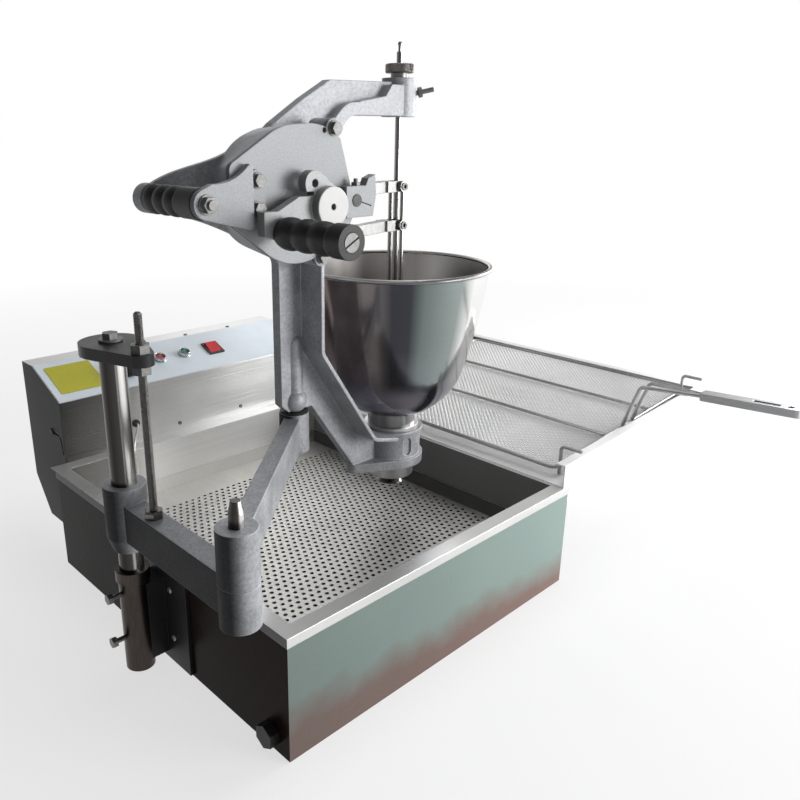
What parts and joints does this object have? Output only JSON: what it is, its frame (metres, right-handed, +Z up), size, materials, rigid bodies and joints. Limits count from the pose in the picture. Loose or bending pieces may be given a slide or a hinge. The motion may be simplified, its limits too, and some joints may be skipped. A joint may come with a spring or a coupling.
{
  "type": "donut fryer",
  "caption": "Countertop electric donut fryer with a perforated oil bath, side drain tray with a frying net, and a crank batter depositor on a swinging, height-set arm.",
  "frame": {"origin": "centre of the case's flat base", "axes": "+X to the right along the front, towards the drain tray; +Y from the front to the control box; +Z up"},
  "size_m": [0.9921, 0.8886, 0.718],
  "materials": {
    "stainless_sheet": "brushed, light wear",
    "perforated_sheet": "satin",
    "polished_bowl": "polished with faint spinning lines",
    "cast_aluminium": "sand cast, tumbled",
    "machined_aluminium": "machined",
    "bright_steel": "ground bar",
    "plated_fastener": "zinc plated",
    "heating_tube": "heat tinted",
    "copper_capillary": "dull",
    "net_wire": "electropolished",
    "net_grip_steel": "satin",
    "black_steel": "black, satin",
    "black_grip": "moulded",
    "black_plastic": "moulded",
    "panel_sheet": "pale blue grey, satin",
    "lamp_ring": "plated",
    "red_plastic": "translucent",
    "green_plastic": "translucent",
    "device_plastic": "moulded"
  },
  "bodies": {
    "fryer": {"outer_case": "stainless_sheet", "oil_tank": "stainless_sheet", "perforated_plate": "perforated_sheet", "heating_element": "heating_tube", "thermostat_bulb": "copper_capillary", "capillary_grommet": "black_plastic", "control_case": "stainless_sheet", "control_back": "stainless_sheet", "cable_gland": "black_plastic", "control_panel": "panel_sheet", "lamp_bezels": "lamp_ring", "red_lens": "red_plastic", "green_lens": "green_plastic", "switch_body": "black_plastic", "thermostat_body": "device_plastic", "contactor": "device_plastic", "case_screws": "plated_fastener", "drain_tray": "stainless_sheet", "post_socket": "bright_steel", "socket_bracket": "black_steel", "set_screws": "plated_fastener", "post": "bright_steel", "cap_bolt": "plated_fastener"},
    "switch": {"switch_rocker": "red_plastic"},
    "knob": {"thermostat_knob": "black_plastic"},
    "drain": {"drain_cap": "plated_fastener"},
    "net": {"net_frame": "net_wire", "net_mesh": "net_wire", "net_grip": "net_grip_steel"},
    "swing": {"cap_plate": "black_steel", "rod_nuts": "plated_fastener"},
    "lower_arm": {"lower_arm": "cast_aluminium", "height_rod": "plated_fastener", "elbow_pin": "bright_steel"},
    "upper_arm": {"upper_arm": "cast_aluminium", "wrist_pin": "bright_steel", "wrist_washer": "plated_fastener"},
    "depositor": {"frame_casting": "cast_aluminium", "front_cover": "machined_aluminium", "cover_bolts": "plated_fastener", "handle_bracket": "machined_aluminium", "fixed_grip": "black_grip", "grip_bolt": "plated_fastener", "lower_pivot": "bright_steel", "lock_screw": "plated_fastener", "hopper_bowl": "polished_bowl", "dough_cylinder": "polished_bowl"},
    "crank": {"crank_arm": "machined_aluminium", "crank_grip": "black_grip", "grip_screw": "plated_fastener"},
    "upper_fork": {"upper_fork": "machined_aluminium", "rocker_shaft": "bright_steel", "clamp_lever": "machined_aluminium", "clamp_bolt": "plated_fastener"},
    "lower_fork": {"lower_fork": "machined_aluminium"},
    "plunger": {"plunger_rods": "bright_steel", "fork_pins": "plated_fastener", "plunger_sleeve": "bright_steel"},
    "centre_rod": {"centre_rod": "bright_steel"},
    "dose_nut": {"knurled_nut": "bright_steel"}
  },
  "joints": [
    {"name": "power_switch", "type": "hinge", "parent": "fryer", "child": "switch", "pos_m": [0.064, 0.32414, 0.26055], "axis": [1, 0, 0], "range_deg": [-12, 0]},
    {"name": "thermostat_turn", "type": "hinge", "parent": "fryer", "child": "knob", "pos_m": [-0.103, 0.31583, 0.25709], "axis": [0, -0.3839, 0.9234], "range_deg": [-270, 0]},
    {"name": "drain_cap_turn", "type": "hinge", "parent": "fryer", "child": "drain", "pos_m": [-0.255, -0.233, 0.02], "axis": [1, 0, 0], "range_deg": [-180, 180]},
    {"name": "net_lift", "type": "slide", "parent": "fryer", "child": "net", "axis": [0, 0, 1], "range_m": [0, 0.06]},
    {"name": "arm_swing", "type": "hinge", "parent": "fryer", "child": "swing", "pos_m": [-0.283, -0.02, 0.395], "axis": [0, 0, 1], "range_deg": [-8, 8]},
    {"name": "arm_height", "type": "slide", "parent": "swing", "child": "lower_arm", "axis": [0, 0, 1], "range_m": [-0.01, 0.045]},
    {"name": "elbow", "type": "hinge", "parent": "lower_arm", "child": "upper_arm", "pos_m": [-0.283, -0.236, 0.24], "axis": [0, 0, 1], "range_deg": [-5, 16]},
    {"name": "wrist", "type": "hinge", "parent": "upper_arm", "child": "depositor", "pos_m": [-0.051, -0.0345, 0.274], "axis": [0, 0, 1], "range_deg": [-18, 20]},
    {"name": "crank_turn", "type": "hinge", "parent": "depositor", "child": "crank", "pos_m": [-0.061, -0.103, 0.5328], "axis": [0, -1, 0], "range_deg": [-30, 20]},
    {"name": "upper_fork_turn", "type": "hinge", "parent": "depositor", "child": "upper_fork", "pos_m": [-0.01, -0.0345, 0.536], "axis": [0, -1, 0], "range_deg": [-9, 6]},
    {"name": "lower_fork_turn", "type": "hinge", "parent": "depositor", "child": "lower_fork", "pos_m": [-0.01, -0.0345, 0.486], "axis": [0, -1, 0], "range_deg": [-9, 6]},
    {"name": "plunger_slide", "type": "slide", "parent": "depositor", "child": "plunger", "axis": [0, 0, 1], "range_m": [-0.0222, 0.0148]},
    {"name": "dose_nut_turn", "type": "hinge", "parent": "depositor", "child": "dose_nut", "pos_m": [0.1305, -0.0345, 0.686], "axis": [0, 0, 1], "range_deg": [-361, 361]},
    {"name": "centre_rod_slide", "type": "slide", "parent": "depositor", "child": "centre_rod", "axis": [0, 0, 1], "range_m": [-0.0015, 0.0015]}
  ],
  "couplings": [
    {"joint": "upper_fork_turn", "follows": "crank_turn", "ratio": 0.3},
    {"joint": "lower_fork_turn", "follows": "crank_turn", "ratio": 0.3},
    {"joint": "plunger_slide", "follows": "crank_turn", "m_per_rad": 0.04215},
    {"joint": "dose_nut_turn", "follows": "centre_rod_slide", "rad_per_m": 4188.8}
  ]
}
